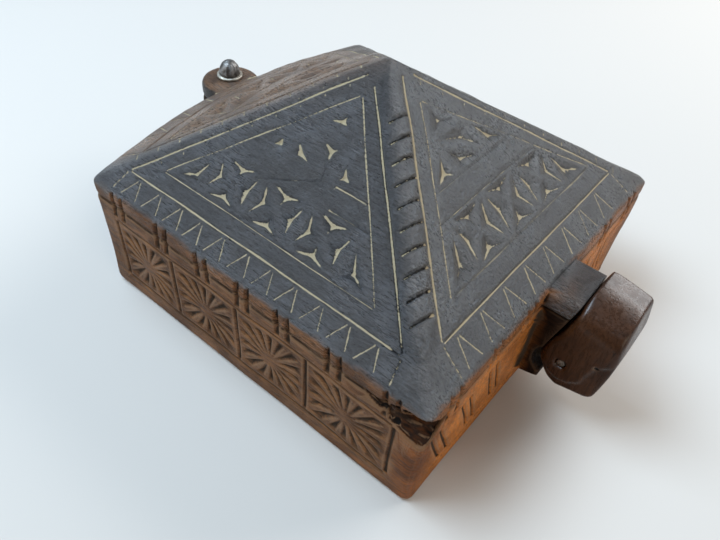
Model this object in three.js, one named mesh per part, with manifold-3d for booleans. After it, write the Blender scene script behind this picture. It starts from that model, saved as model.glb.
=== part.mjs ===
// A carved wooden box for bindi powders. A hollowed block with four wells carries a hollowed
// pyramid lid that swings sideways on one upright iron pin, and a forked wooden hasp that turns
// on a level iron pin and closes over tongues on the lid and the block.
// Millimetres. The origin is the centre of the foot, +X points to the hasp, +Z is up.

import * as THREE from 'three';
import { mergeVertices } from 'three/addons/utils/BufferGeometryUtils.js';
import Module from 'manifold-3d';

const wasm = await Module();
wasm.setup();

// The block
const bodyLength = 202.4;
const bodyWidth = 204.4;
const bodyHeight = 59.2;
const bodyLean = 1.4;
const rearBow = 17.5;
const cornerRadius = 3.6;
const arris = 1.2;
const footRound = 1.8;
const topEase = 0.8;
const sideWall = 14;
const floorThickness = 14;
const partitionThickness = 10;
const wellRadius = 9;
const wellFootRound = 3;

// The lid
const seamGap = 0.3;
const rimHeight = 7.9;
const rimRound = 1;
const roofRise = 66.8;
const apexX = -4;
const apexY = -2.7;
const lidWall = 16;
const roofThickness = 17;
const hollowRim = 5;
const hollowTopHalf = 26;

// The upright pin and the two round lugs that it joins
const pivotOut = 7.3;
const pivotY = 11;
const pivotRadius = 3;
const boreClearance = 0.3;
const rearLugOut = 4.3;
const rearLugY = 9.3;
const rearLugRadius = 17;
const rearLugProud = 1.3;
const rearLugEase = 2.4;
const rearLugTurn = 20;
const rearLugFoot = 18;
const rearLugSlope = 8;
const domeRadius = 6.3;
const domeHeight = 8.3;
const domeRibs = 12;
const domeRibDepth = 0.035;
const collarRadius = 7.6;
const collarThickness = 1.4;
const roveRadius = 6.4;
const roveThickness = 1.6;
const roveMargin = 2;
const clenchHeight = 1.8;
const clenchSpread = 1.2;
const seatGap = 0.3;

// The front lugs, their tongues and the hasp
const lugLow = -12.8;
const lugHigh = 18.2;
const lugNearRound = 7.5;
const lugFarRound = 2.5;
const lugEdge = 1.2;
const lugFootZ = 11.5;
const lugFootSlope = 0.295;
const lipReach = 10;
const tongueLow = -5.4;
const tongueHigh = 10.8;
const tongueClearance = 0.5;
const tongueReach = 9;
const haspPinOut = 17.8;
const haspPinZ = 32.5;
const haspPinRadius = 2.2;
const haspOpens = 60;
const knuckleRadius = 10.6;
const knuckleClearance = 0.4;
const heelRadius = 15.3;
const heelStart = 225;
const heelEnd = 275;
const heelClearance = 1;
const tongueKnuckle = 10;
const seamLean = 14.5;
const haspOuterReach = 22;
const haspTopProud = 4.4;
const haspTopFall = 4;
const haspTopIn = 1.8;
const haspBellyRise = 21.5;
const haspNearRound = 14;
const haspFarRound = 4;
const haspPlanRound = 3.5;
const haspFootReach = 19.2;
const haspFootDrop = 8.2;
const haspToeReach = 14.8;
const haspToeDrop = 12.1;
const haspNearProud = 0.7;
const haspFarProud = 1;
const haspEdge = 1.2;
const haspOuterWall = 8.6;
const haspSlotRadius = 32.6;
const tongueTopClearance = 0.5;
const haspRecessSide = 5.2;
const haspRecessDepth = 1.4;
const haspBorderDepth = 0.9;
const fieldSeamRise = 3;
const fieldOuterRise = 25;
const haspPinSunk = 0.8;
const haspPinShy = 0.3;

// The carving
const grooveWidth = 1.5;
const grooveDepth = 0.85;
const borderWidth = 2.1;
const borderDepth = 1;
const wallGrooveWidth = 2.8;
const wallGrooveDepth = 1.8;
const wallBorderWidth = 2;
const wallBorderDepth = 1.3;
const starOpening = 0.62;
const starShare = 0.94;
const starDepth = 2;
const chipDepth = 1.9;
const cornerChipDepth = 2.1;
const strokeLeft = 5.8;
const strokeRight = 5;
const strokeFoot = 1;
const strokeGap = 0.3;
const closingStroke = 2.4;
const upperChipShare = 0.94;
const cellGap = 1;
const cornerGap = 3;
const cellPitch = 27;
const cellHalf = 12.6;
const notchWidth = 3.6;
const notchDepth = 2;
const notchGap = 6.3;
const notchStarts = [14, 45.5, 73, 98.5, 122.5, 151, 180.5];
const ropeHalfWidth = 7.6;
const ropeCrest = 0.9;
const ropePitch = 10;
const ropeStart = 30;
const ropeFirstCut = 41.4;
const ropeEnd = 9;
const ropeFade = 6;
const ropeFull = 10;
const ropeTopFade = 16;
const ropeCutWidth = 1.9;
const ropeCutDepth = 1.2;
const ropeCutRight = 6.6;
const ropeCutLeft = 4.2;
const ropeCutSlant = 5.2;
const ropeCutParts = 3;
const hipTickPitch = 12;
const hipTickStart = 0.8;
const hipTickReach = 7.5;
const panelEdges = [0, 0.235, 0.482, 0.726, 1];
const panelEnd = 13.3;
const panelLow = 11;
const panelHigh = 50;
const panelMargin = 1.6;
const starCuts = 16;
const slantStart = 5;
const slantPitch = 22;
const slantRun = 15;
const slantPair = 6;
const slantHigh = 1;
const slantLow = 3;
const slantLugLow = 4;
const slantLugHigh = 10;
const chippedAlongX = 30;
const chippedAlongY = 13;
const chippedDown = 13;
const lidChippedAlongX = 24;
const lidChippedAlongY = 10;
const lidChippedUp = 8.6;

// The raised field on the hasp's cheeks, measured from its pin
const fieldOutline = [
  [-7, -3.7], [-4.1, -8], [0.5, -10.1], [6.3, -8.7], [11, -4.7], [12.7, 3.2], [14.8, 9.6],
];

const halfX = bodyLength / 2;
const halfY = bodyWidth / 2;
const lidFoot = bodyHeight + seamGap;
const rimTop = lidFoot + rimHeight;
const ropeHip = 1;
const apex = new THREE.Vector3(apexX, apexY, rimTop + roofRise);
const rearLugTop = rimTop + rearLugProud;
const rearLugX = -halfX - rearBow - rearLugOut;
const pivotX = -halfX - rearBow - pivotOut;
const haspPinX = halfX + haspPinOut;
const haspOuterX = haspPinX + haspOuterReach;
const haspTopZ = rimTop + haspTopProud;
const haspBellyZ = haspPinZ + haspBellyRise;
const haspFootX = haspPinX + haspFootReach;
const haspFootZ = haspPinZ - haspFootDrop;
const haspToeX = haspPinX + haspToeReach;
const haspToeZ = haspPinZ - haspToeDrop;

// How far cutters stand clear of what they cut, and how finely curves are drawn
const cutLift = 1.2;
const cutterOver = 5;
const cutterReach = 30;
const roofFootShare = 0.02;
const roofTopShare = 0.975;
const roofTipShare = 0.992;
const tipInset = 0.4;
const lugOverPin = 4;
const tongueTie = 6;
const cornerOver = 4;
const cornerSpread = 1.4;
const rodSides = 28;
const curveSteps = 10;
const bowedCutLength = 26;

// Joins a three.js geometry's shared corners and hands it over as a solid.
function solid(geometry) {
  const plain = geometry.clone();
  for (const name of ['normal', 'uv']) {
    plain.deleteAttribute(name);
  }
  const merged = mergeVertices(plain, 1e-4);
  return new wasm.Manifold(new wasm.Mesh({
    numProp: 3,
    vertProperties: new Float32Array(merged.attributes.position.array),
    triVerts: new Uint32Array(merged.index.array),
  }));
}

// Turns a solid back into a mesh with its own wood or iron.
function piece(name, body, colour, roughness, metalness) {
  const mesh = body.getMesh();
  const geometry = new THREE.BufferGeometry();
  geometry.setAttribute('position', new THREE.BufferAttribute(mesh.vertProperties, 3));
  geometry.setIndex(new THREE.BufferAttribute(mesh.triVerts, 1));
  geometry.computeVertexNormals();
  const result = new THREE.Mesh(
    geometry,
    new THREE.MeshStandardMaterial({ color: colour, roughness, metalness }),
  );
  result.name = name;
  return result;
}

function joined(solids) {
  return solids.reduce((sum, next) => sum.add(next));
}

// A closed skin over rings that each hold the same number of points.
function skin(rings) {
  const count = rings[0].length;
  const positions = [];
  const index = [];
  for (const ring of rings) {
    for (const point of ring) {
      positions.push(point.x, point.y, point.z);
    }
  }
  for (let level = 0; level + 1 < rings.length; level += 1) {
    for (let i = 0; i < count; i += 1) {
      const a = level * count + i;
      const b = level * count + ((i + 1) % count);
      index.push(a, b, b + count, a, b + count, a + count);
    }
  }
  const last = (rings.length - 1) * count;
  for (let i = 1; i + 1 < count; i += 1) {
    index.push(0, i + 1, i, last, last + i, last + i + 1);
  }
  const geometry = new THREE.BufferGeometry();
  geometry.setAttribute('position', new THREE.Float32BufferAttribute(positions, 3));
  geometry.setIndex(index);
  return solid(geometry);
}

// How far the bowed rear stands out at a place along it, for a section of a given scale.
function bowOut(y, scale = 1, centreY = 0) {
  const share = (y - centreY) / (halfY * scale);
  return rearBow * scale * Math.max(0, 1 - share * share);
}

// One level ring of a rectangle with round corners, its rear side pushed out by a bow.
function ring(alongX, alongY, radius, z, centreX = 0, centreY = 0, bow = () => 0) {
  const steps = 3;
  const bowSteps = 10;
  const points = [];
  for (let corner = 0; corner < 4; corner += 1) {
    const signX = corner === 0 || corner === 3 ? 1 : -1;
    const signY = corner < 2 ? 1 : -1;
    for (let step = 0; step <= steps; step += 1) {
      const angle = (corner + step / steps) * Math.PI / 2;
      points.push(new THREE.Vector3(
        centreX + signX * (alongX - radius) + radius * Math.cos(angle),
        centreY + signY * (alongY - radius) + radius * Math.sin(angle),
        z,
      ));
    }
    for (let step = 1; corner === 1 && step < bowSteps; step += 1) {
      const y = centreY + (alongY - radius) * (1 - 2 * step / bowSteps);
      points.push(new THREE.Vector3(centreX - alongX, y, z));
    }
  }
  for (const point of points) {
    if (point.x < centreX) {
      point.x -= bow(point.y);
    }
  }
  return points;
}

// The same outline as straight runs, without points that repeat the one before.
function plainOutline(shape) {
  const tidy = (points) => points.filter(
    (point, i) => point.distanceTo(points[(i + 1) % points.length]) > 1e-3,
  );
  const result = new THREE.Shape(tidy(shape.getPoints(curveSteps)));
  result.holes = shape.holes.map((hole) => new THREE.Path(tidy(hole.getPoints(curveSteps))));
  return result;
}

// A level outline raised from one height to another, with eased edges.
function upright(shape, low, high, edge = 0) {
  const geometry = new THREE.ExtrudeGeometry(plainOutline(shape), {
    depth: high - low - 2 * edge,
    bevelEnabled: edge > 0,
    bevelSize: edge,
    bevelThickness: edge,
    bevelOffset: -edge,
    bevelSegments: 2,
  });
  geometry.translate(0, 0, low + edge);
  return solid(geometry);
}

// A side outline, drawn in X and Z, carried along Y, with eased edges.
function sideways(shape, low, high, edge = 0) {
  const geometry = new THREE.ExtrudeGeometry(plainOutline(shape), {
    depth: high - low - 2 * edge,
    bevelEnabled: edge > 0,
    bevelSize: edge,
    bevelThickness: edge,
    bevelOffset: -edge,
    bevelSegments: 1,
  });
  geometry.rotateX(Math.PI / 2);
  geometry.translate(0, high - edge, 0);
  return solid(geometry);
}

function block(lowX, highX, lowY, highY, lowZ, highZ) {
  const geometry = new THREE.BoxGeometry(highX - lowX, highY - lowY, highZ - lowZ);
  geometry.translate((lowX + highX) / 2, (lowY + highY) / 2, (lowZ + highZ) / 2);
  return solid(geometry);
}

function uprightRod(radius, low, high, sides = 20) {
  const geometry = new THREE.CylinderGeometry(radius, radius, high - low, sides);
  geometry.rotateX(Math.PI / 2);
  geometry.translate(pivotX, pivotY, (low + high) / 2);
  return solid(geometry);
}

function levelRod(radius, low, high, sides = 20) {
  const geometry = new THREE.CylinderGeometry(radius, radius, high - low, sides);
  geometry.translate(haspPinX, (low + high) / 2, haspPinZ);
  return solid(geometry);
}

function circle(shape, x, y, radius) {
  shape.absarc(x, y, radius, 0, 2 * Math.PI, false);
  return shape;
}

// A carving ground: u runs along its lower edge and v up its slope. The rear ones are bowed.
class Ground {
  constructor(left, right, top, bow = () => 0) {
    this.bow = bow;
    this.isBowed = left.x < 0 && right.x < 0;
    this.left = left;
    this.length = left.distanceTo(right);
    this.along = right.clone().sub(left).normalize();
    const toTop = top.clone().sub(left);
    this.normal = this.along.clone().cross(toTop).normalize();
    this.up = this.normal.clone().cross(this.along);
    this.topU = toTop.dot(this.along);
    this.topV = toTop.dot(this.up);
  }

  at(u, v) {
    const point = this.left.clone().addScaledVector(this.along, u).addScaledVector(this.up, v);
    if (this.isBowed) {
      point.x -= this.bow(point.y, v / this.topV);
    }
    return point;
  }

  normalAt(u, v) {
    const across = this.at(u + 1, v).sub(this.at(u - 1, v));
    const rise = this.at(u, v + 1).sub(this.at(u, v - 1));
    return across.cross(rise).normalize();
  }
}

// The boat-shaped cut that a V tool leaves between two points of a surface.
function vCut(start, end, normal, width, depth) {
  const run = end.clone().sub(start);
  const length = run.length();
  const along = run.normalize();
  const side = normal.clone().cross(along).multiplyScalar(width / 2 * (1 + cutLift / depth));
  const rise = normal.clone().multiplyScalar(cutLift);
  const dip = Math.min(length / 3, depth);
  const tops = [
    start.clone().add(rise).sub(side),
    end.clone().add(rise).sub(side),
    end.clone().add(rise).add(side),
    start.clone().add(rise).add(side),
  ];
  const keel = [
    start.clone().addScaledVector(along, dip).addScaledVector(normal, -depth),
    end.clone().addScaledVector(along, -dip).addScaledVector(normal, -depth),
  ];
  return hull([...tops, ...keel], [
    [0, 1, 2], [0, 2, 3], [0, 5, 1], [0, 4, 5], [3, 2, 5], [3, 5, 4], [0, 3, 4], [1, 5, 2],
  ]);
}

function hull(points, faces) {
  const geometry = new THREE.BufferGeometry();
  geometry.setAttribute('position', new THREE.Float32BufferAttribute(
    points.flatMap((point) => point.toArray()),
    3,
  ));
  geometry.setIndex(faces.flat());
  return solid(geometry);
}

// A three-cornered chip: three facets that meet at one deepest point.
function chip(ground, corners, share, depth = chipDepth) {
  const middleU = (corners[0][0] + corners[1][0] + corners[2][0]) / 3;
  const middleV = (corners[0][1] + corners[1][1] + corners[2][1]) / 3;
  const inward = ground.normalAt(middleU, middleV).multiplyScalar(-depth);
  const pit = ground.at(middleU, middleV).add(inward);
  const spread = (depth + cutLift) / depth;
  const rim = corners.map(([u, v]) => {
    const point = ground.at(
      middleU + (u - middleU) * share,
      middleV + (v - middleV) * share,
    );
    return pit.clone().lerp(point, spread);
  });
  const turn = (corners[1][0] - corners[0][0]) * (corners[2][1] - corners[0][1])
    - (corners[2][0] - corners[0][0]) * (corners[1][1] - corners[0][1]);
  const ordered = turn > 0 ? rim : [rim[0], rim[2], rim[1]];
  return hull([...ordered, pit], [[0, 1, 2], [0, 3, 1], [1, 3, 2], [2, 3, 0]]);
}

// A straight cut on a ground. On a bowed one it is made of short cuts that run into each other.
function line(ground, u1, v1, u2, v2, width = grooveWidth, depth = grooveDepth) {
  const length = Math.hypot(u2 - u1, v2 - v1);
  const parts = ground.isBowed ? Math.ceil(Math.abs(u2 - u1) / bowedCutLength + 0.01) : 1;
  const overlap = 1.5 * depth / length;
  const cuts = [];
  for (let part = 0; part < parts; part += 1) {
    const from = Math.max(0, part / parts - overlap);
    const to = Math.min(1, (part + 1) / parts + overlap);
    const middle = (from + to) / 2;
    cuts.push(vCut(
      ground.at(u1 + (u2 - u1) * from, v1 + (v2 - v1) * from),
      ground.at(u1 + (u2 - u1) * to, v1 + (v2 - v1) * to),
      ground.normalAt(u1 + (u2 - u1) * middle, v1 + (v2 - v1) * middle),
      width,
      depth,
    ));
  }
  return joined(cuts);
}

// The four corners of a section, starting at the rear left one and going round.
function corners(z, inset = 0) {
  const x = halfX - inset;
  const y = halfY - inset;
  return [[-x, -y], [x, -y], [x, y], [-x, y]].map(([px, py]) => new THREE.Vector3(px, py, z));
}

// The roof's four grounds. Their lower corners stand in from the true ones by a worn arris.
function roofGrounds() {
  const share = arris / halfX;
  const base = corners(rimTop).map((corner) => corner.lerp(apex, share));
  const bow = (y, height) => {
    const all = share + (1 - share) * height;
    return bowOut(y, Math.max(1 - all, 0.02), apexY * all);
  };
  return base.map((corner, i) => new Ground(corner, base[(i + 1) % 4], apex, bow));
}

function wallGrounds() {
  const foot = corners(0, bodyLean);
  const top = corners(bodyHeight);
  return foot.map((corner, i) => new Ground(
    corner, foot[(i + 1) % 4], top[i], (y) => bowOut(y),
  ));
}

// Where the bands of a roof face lie, measured up the slope. The chips fill a share of their room,
// and the two lines across the panel are worn away up to a share of their length.
const sideBands = {
  faceLength: 200, faceRise: 118.4,
  border: 13, panelLow: 21.5, panelHigh: 46, upperLow: 56, inner: [96, 97], firstCell: 67,
  outerLow: [15, 178], innerLow: [32, 158], outerTop: [[93, 108], [97.5, 104]],
  firstStroke: 24, strokePitch: 14.35, chipShare: 0.74, wornShare: 0.72,
};
const endBands = {
  faceLength: 202, faceRise: 123.1,
  border: 16, panelLow: 26, panelHigh: 52, upperLow: 63, inner: [98, 100], firstCell: 78,
  outerLow: [25, 180], innerLow: [42, 168], outerTop: [[99, 114], [104, 112]],
  firstStroke: 33.8, strokePitch: 17.9, chipShare: 0.88, wornShare: 0,
};

// The five chips of a roof face's upper field, as shares of its half width and its height.
const sideChips = [
  [[-0.69, 0.06], [-0.5, 0.09], [-0.585, 0.22]],
  [[-0.37, 0.26], [-0.32, 0.06], [0.02, 0.06]],
  [[0.23, 0.375], [-0.07, 0.38], [0.18, 0.165]],
  [[0.42, 0.26], [0.42, 0.05], [0.65, 0.09]],
  [[-0.22, 0.58], [0.15, 0.61], [0.04, 0.75]],
];
const endChips = [
  [[-0.03, 0.95], [-0.38, 0.55], [0.33, 0.56]],
  [[-0.35, 0.49], [0.4, 0.08], [0.35, 0.51]],
  [[0.41, 0.46], [0.49, 0.05], [0.96, 0.02]],
  [[-0.38, 0.39], [-0.35, 0.02], [0.33, 0.04]],
  [[-0.48, 0.35], [-0.89, 0.03], [-0.44, 0.02]],
];

// A roof face's ground read in the measures of its bands, so that the carving keeps to the face.
function fitted(ground, bands) {
  const along = ground.length / bands.faceLength;
  const rise = ground.topV / bands.faceRise;
  return {
    isBowed: ground.isBowed,
    length: bands.faceLength,
    topU: ground.topU / along,
    topV: bands.faceRise,
    at: (u, v) => ground.at(u * along, v * rise),
    normalAt: (u, v) => ground.normalAt(u * along, v * rise),
  };
}

// Leaning pairs of strokes along the eaves, each pair meeting at the border line.
function strokePairs(ground, bands) {
  const cuts = [];
  const high = bands.border - strokeFoot;
  const last = bands.outerLow[1];
  for (let top = bands.firstStroke; top + strokeRight < last; top += bands.strokePitch) {
    cuts.push(line(ground, top - strokeGap, high, top - strokeLeft, strokeFoot));
    cuts.push(line(ground, top + strokeGap, high, top + strokeRight, strokeFoot));
  }
  const [left, right] = bands.outerLow;
  cuts.push(line(ground, left, bands.border, left - closingStroke, strokeFoot / 2));
  cuts.push(line(ground, right, bands.border, right + closingStroke, strokeFoot / 2));
  return cuts;
}

// Where a sloping field's edge stands at a height v.
function edgeAt(lowU, lowV, top, v) {
  return lowU + (top[0] - lowU) * (v - lowV) / (top[1] - lowV);
}

function cellChips(ground, bands) {
  const cuts = [];
  const middleV = (bands.panelLow + bands.panelHigh) / 2;
  const halfV = (bands.panelHigh - bands.panelLow) / 2 - cellGap;
  for (let cell = 0; cell < 3; cell += 1) {
    const centre = bands.firstCell + cell * cellPitch;
    const square = [[-1, -1], [1, -1], [1, 1], [-1, 1]].map(
      ([u, v]) => [centre + u * cellHalf, middleV + v * halfV],
    );
    for (let i = 0; i < 4; i += 1) {
      cuts.push(chip(
        ground, [square[i], square[(i + 1) % 4], [centre, middleV]], bands.chipShare,
      ));
    }
  }
  const leftEdge = bands.firstCell - cellHalf - cellGap;
  const rightEdge = bands.firstCell + 2 * cellPitch + cellHalf + cellGap;
  const low = bands.panelLow + cellGap;
  const high = bands.panelHigh - cellGap;
  const startU = edgeAt(bands.innerLow[0], bands.panelLow, bands.inner, low) + cornerGap;
  const endU = edgeAt(bands.innerLow[1], bands.panelLow, bands.inner, low) - cornerGap;
  const share = bands.chipShare;
  const deep = cornerChipDepth;
  const leftCorner = [[startU, low], [leftEdge, low], [leftEdge, high - cornerGap]];
  const rightCorner = [[rightEdge, low], [endU, low], [rightEdge, high - cornerGap]];
  cuts.push(chip(ground, leftCorner, share, deep), chip(ground, rightCorner, share, deep));
  return cuts;
}

function upperField(ground, bands, chips) {
  const left = edgeAt(bands.innerLow[0], bands.panelLow, bands.inner, bands.upperLow);
  const right = edgeAt(bands.innerLow[1], bands.panelLow, bands.inner, bands.upperLow);
  const middle = (left + right) / 2;
  const half = (right - left) / 2;
  const height = bands.inner[1] - bands.upperLow;
  return chips.map((corner) => chip(
    ground,
    corner.map(([s, t]) => [middle + s * half, bands.upperLow + t * height]),
    upperChipShare,
  ));
}

function roofFaceCuts(ground, bands, chips) {
  const { border, panelLow: low, panelHigh: high, upperLow, inner, outerLow, innerLow } = bands;
  const across = (v) => {
    const [left, right] = innerLow.map((u) => edgeAt(u, low, inner, v));
    return line(ground, left + (right - left) * bands.wornShare, v, right, v);
  };
  const outerLine = (u1, v1, u2, v2) => line(ground, u1, v1, u2, v2, borderWidth, borderDepth);
  return [
    ...strokePairs(ground, bands),
    outerLine(outerLow[0], border, outerLow[1], border),
    outerLine(outerLow[0], border, ...bands.outerTop[0]),
    outerLine(outerLow[1], border, ...bands.outerTop[1]),
    line(ground, innerLow[0], low, innerLow[1], low),
    across(high),
    across(upperLow),
    line(ground, innerLow[0], low, inner[0], inner[1]),
    line(ground, innerLow[1], low, inner[0], inner[1]),
    ...cellChips(ground, bands),
    ...upperField(ground, bands, chips),
  ];
}

// Short cuts up the two edges of a roof face. The near hip, which carries the rope, has none.
function hipTicks(ground, index) {
  const cuts = [];
  const sides = [[0, 1, index], [ground.length, -1, (index + 1) % 4]];
  for (const [startU, inwards, hip] of sides) {
    const run = Math.hypot(ground.topU - startU, ground.topV);
    const alongU = (ground.topU - startU) / run;
    const alongV = ground.topV / run;
    for (let at = 2 * hipTickPitch; at < run - hipTickPitch && hip !== ropeHip; at += hipTickPitch) {
      const ends = [hipTickStart, hipTickReach].map((reach) => [
        startU + alongU * at + inwards * alongV * reach,
        alongV * at - inwards * alongU * reach,
      ]);
      cuts.push(line(ground, ...ends[0], ...ends[1]));
    }
  }
  return cuts;
}

// Everything that the near hip needs: its run, the way up off it and the way across it.
function ropeFrame() {
  const foot = corners(rimTop)[ropeHip];
  const run = apex.clone().sub(foot);
  const along = run.clone().normalize();
  const across = new THREE.Vector3(0, 0, 1).cross(along).normalize();
  const up = along.clone().cross(across);
  const grounds = roofGrounds();
  const falls = [grounds[ropeHip].normal, grounds[ropeHip - 1].normal].map(
    (normal) => Math.abs(normal.dot(across) / normal.dot(up)),
  );
  return { foot, length: run.length(), along, across, up, falls };
}

// A place on the rounded back of the rope, for a half width and a crest height.
function onRope(hip, distance, side, halfWidth = ropeHalfWidth, crest = ropeCrest) {
  const fall = hip.falls[side > 0 ? 1 : 0] * halfWidth;
  const height = crest - (fall + crest) * (side / halfWidth) ** 2;
  return hip.foot.clone()
    .addScaledVector(hip.along, distance)
    .addScaledVector(hip.across, side)
    .addScaledVector(hip.up, height);
}

// The rounded band that covers the near hip before its strands are cut.
function ropeBand(hip) {
  const sides = 12;
  const stations = [
    [ropeStart - ropeFade, 0.3], [ropeStart, 0.8], [ropeStart + ropeFull, 1],
    [hip.length - ropeEnd - ropeTopFade, 0.9], [hip.length - ropeEnd, 0.4],
  ];
  return skin(stations.map(([distance, share]) => {
    const points = [];
    for (let i = 0; i <= sides; i += 1) {
      const side = ropeHalfWidth * share * (1 - 2 * i / sides);
      points.push(onRope(hip, distance, side, ropeHalfWidth * share, ropeCrest * share));
    }
    const sunk = hip.up.clone().multiplyScalar(-ropeHalfWidth * share / 2);
    points.push(points[sides].clone().add(sunk), points[0].clone().add(sunk));
    return points;
  }));
}

// Thin slanting cuts that part the rope's strands. Each follows the rounded back in short cuts.
function ropeCuts(hip) {
  const cuts = [];
  for (let at = ropeFirstCut; at < hip.length - ropeEnd - ropeTopFade; at += ropePitch) {
    const place = (share) => onRope(
      hip, at - ropeCutSlant * share, -ropeCutRight + (ropeCutRight + ropeCutLeft) * share,
    );
    for (let part = 0; part < ropeCutParts; part += 1) {
      const start = place((part - 0.3) / ropeCutParts);
      const end = place((part + 1.3) / ropeCutParts);
      const out = hip.along.clone().cross(end.clone().sub(start)).normalize();
      const outward = out.dot(hip.up) > 0 ? out : out.negate();
      cuts.push(vCut(start, end, outward, ropeCutWidth, ropeCutDepth));
    }
  }
  return cuts;
}

// The part of a wall that its lug covers, from the wall's left corner. Walls 1 and 3 have one.
function lugSpan(index) {
  if (index === 1) {
    return [halfY + lugLow, halfY + lugHigh];
  }
  return [halfY - rearLugY - rearLugRadius, halfY - rearLugY + rearLugRadius];
}

// Paired notches over the seam, cut alike into the lid's rim and the block's top band.
function notchCuts(ground, index) {
  const cuts = [];
  const [clearLow, clearHigh] = lugSpan(index);
  const clear = notchWidth + notchGap;
  for (const first of notchStarts) {
    for (const u of [first, first + notchGap]) {
      const meetsLug = index % 2 === 1 && u > clearLow - clear && u < clearHigh + clear;
      if (!meetsLug) {
        cuts.push(line(ground, u, panelHigh + 1, u, rimTop + 2, notchWidth, notchDepth));
      }
    }
  }
  return cuts;
}

function starPanels(ground) {
  const cuts = [];
  const middleV = (panelLow + panelHigh) / 2;
  const halfV = (panelHigh - panelLow) / 2;
  const edges = panelEdges.map((share) => panelEnd + (ground.length - 2 * panelEnd) * share);
  for (const u of edges) {
    cuts.push(line(ground, u, panelLow, u, panelHigh, wallGrooveWidth, wallGrooveDepth));
  }
  for (let panel = 0; panel + 1 < edges.length; panel += 1) {
    const centre = (edges[panel] + edges[panel + 1]) / 2;
    const halfU = (edges[panel + 1] - edges[panel]) / 2;
    const onEdge = (angle) => {
      const across = Math.cos(angle);
      const rise = Math.sin(angle);
      const reach = Math.min(
        (halfU - panelMargin) / Math.max(Math.abs(across), 1e-6),
        (halfV - panelMargin) / Math.max(Math.abs(rise), 1e-6),
      );
      return [centre + reach * across, middleV + reach * rise];
    };
    const opening = starOpening * Math.PI / starCuts;
    for (let i = 0; i < starCuts; i += 1) {
      const angle = 2 * Math.PI * i / starCuts;
      cuts.push(chip(
        ground, [[centre, middleV], onEdge(angle - opening), onEdge(angle + opening)],
        starShare, starDepth,
      ));
    }
  }
  return cuts;
}

function borderLines(ground) {
  return [panelLow, panelHigh].map((v) => line(
    ground, panelEnd, v, ground.length - panelEnd, v, wallBorderWidth, wallBorderDepth,
  ));
}

// Slanting pairs of cuts on the two walls that carry lugs.
function slantedPairs(ground, index) {
  const cuts = [];
  const [clearLow, clearHigh] = lugSpan(index);
  const last = ground.length - slantRun - slantPair;
  for (let u = slantStart; u < last; u += slantPitch) {
    for (const start of [u, u + slantPair]) {
      const end = start + slantRun;
      const meetsLug = end > clearLow - slantLugLow && start < clearHigh + slantLugHigh;
      if (!meetsLug) {
        cuts.push(line(
          ground, start, panelHigh - slantHigh, end, panelLow + slantLow,
          wallGrooveWidth, wallGrooveDepth,
        ));
      }
    }
  }
  return cuts;
}

// The corner that has broken away under the lid at the near end.
function brokenCorner(top, alongX, alongY, down) {
  const corner = new THREE.Vector3(
    halfX + cornerOver, -halfY - cornerOver, top + cornerOver * Math.sign(down),
  );
  const reachX = (alongX + cornerOver) * cornerSpread;
  const reachY = (alongY + cornerOver) * cornerSpread;
  const reachZ = (Math.abs(down) + cornerOver) * cornerSpread;
  const points = [
    corner,
    corner.clone().add(new THREE.Vector3(-reachX, 0, 0)),
    corner.clone().add(new THREE.Vector3(0, reachY, 0)),
    corner.clone().add(new THREE.Vector3(0, 0, -reachZ * Math.sign(down))),
  ];
  const faces = [[0, 2, 1], [0, 1, 3], [0, 3, 2], [1, 2, 3]];
  return hull(points, down > 0 ? faces : faces.map(([a, b, c]) => [a, c, b]));
}

// The outline of the round rear lugs, seen from above.
function rearLugShape() {
  const root = -halfX - rearBow / 2;
  const turn = THREE.MathUtils.degToRad(rearLugTurn);
  const halfWidth = rearLugRadius * Math.cos(turn);
  const shape = new THREE.Shape();
  shape.moveTo(root, rearLugY + halfWidth);
  shape.absarc(
    rearLugX, rearLugY, rearLugRadius, Math.PI / 2 - turn, 1.5 * Math.PI + turn, false,
  );
  shape.lineTo(root, rearLugY - halfWidth);
  return shape;
}

// The radius of the hasp's round end, which grows into its heel, at an angle about the pin.
function knuckleAt(degrees) {
  const share = THREE.MathUtils.clamp((degrees - heelStart) / (heelEnd - heelStart), 0, 1);
  return knuckleRadius + (heelRadius - knuckleRadius) * share;
}

function roundPin(degrees, radius) {
  const angle = THREE.MathUtils.degToRad(degrees);
  return [haspPinX + radius * Math.cos(angle), haspPinZ + radius * Math.sin(angle)];
}

// The hasp seen from the side. Grown a little, it is also the room that its lugs leave it.
function haspShape(grow = 0) {
  const lean = THREE.MathUtils.degToRad(seamLean);
  const radius = knuckleRadius + grow;
  const topZ = haspTopZ + grow;
  const seamX = haspPinX - (radius - (topZ - haspPinZ) * Math.sin(lean)) / Math.cos(lean);
  const outerX = haspOuterX + grow;
  const shape = new THREE.Shape();
  shape.moveTo(seamX, topZ);
  for (let degrees = 180 - seamLean; degrees <= heelEnd; degrees += 9.95) {
    shape.lineTo(...roundPin(degrees, knuckleAt(degrees) + grow));
  }
  shape.lineTo(haspToeX, haspToeZ - grow);
  shape.quadraticCurveTo(haspFootX - 1 + grow, haspToeZ + 0.8, haspFootX + grow, haspFootZ);
  shape.quadraticCurveTo(outerX - 0.2, (haspFootZ + haspBellyZ) / 2, outerX, haspBellyZ);
  shape.lineTo(outerX - haspTopIn, topZ - haspTopFall - 2);
  shape.quadraticCurveTo(
    outerX - haspTopIn - 0.2, topZ - haspTopFall, outerX - haspTopIn - 2.5, topZ - haspTopFall + 0.4,
  );
  return shape;
}

// The pocket behind the round end, as wide as the heel needs when the hasp opens.
function heelPocket() {
  const shape = new THREE.Shape();
  shape.moveTo(haspPinX, haspPinZ);
  for (let degrees = 180 - seamLean; degrees <= 300; degrees += 8) {
    const widest = knuckleAt(degrees + haspOpens);
    shape.lineTo(...roundPin(degrees, widest + heelClearance * (widest > knuckleRadius ? 1 : 0.4)));
  }
  return shape;
}

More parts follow.
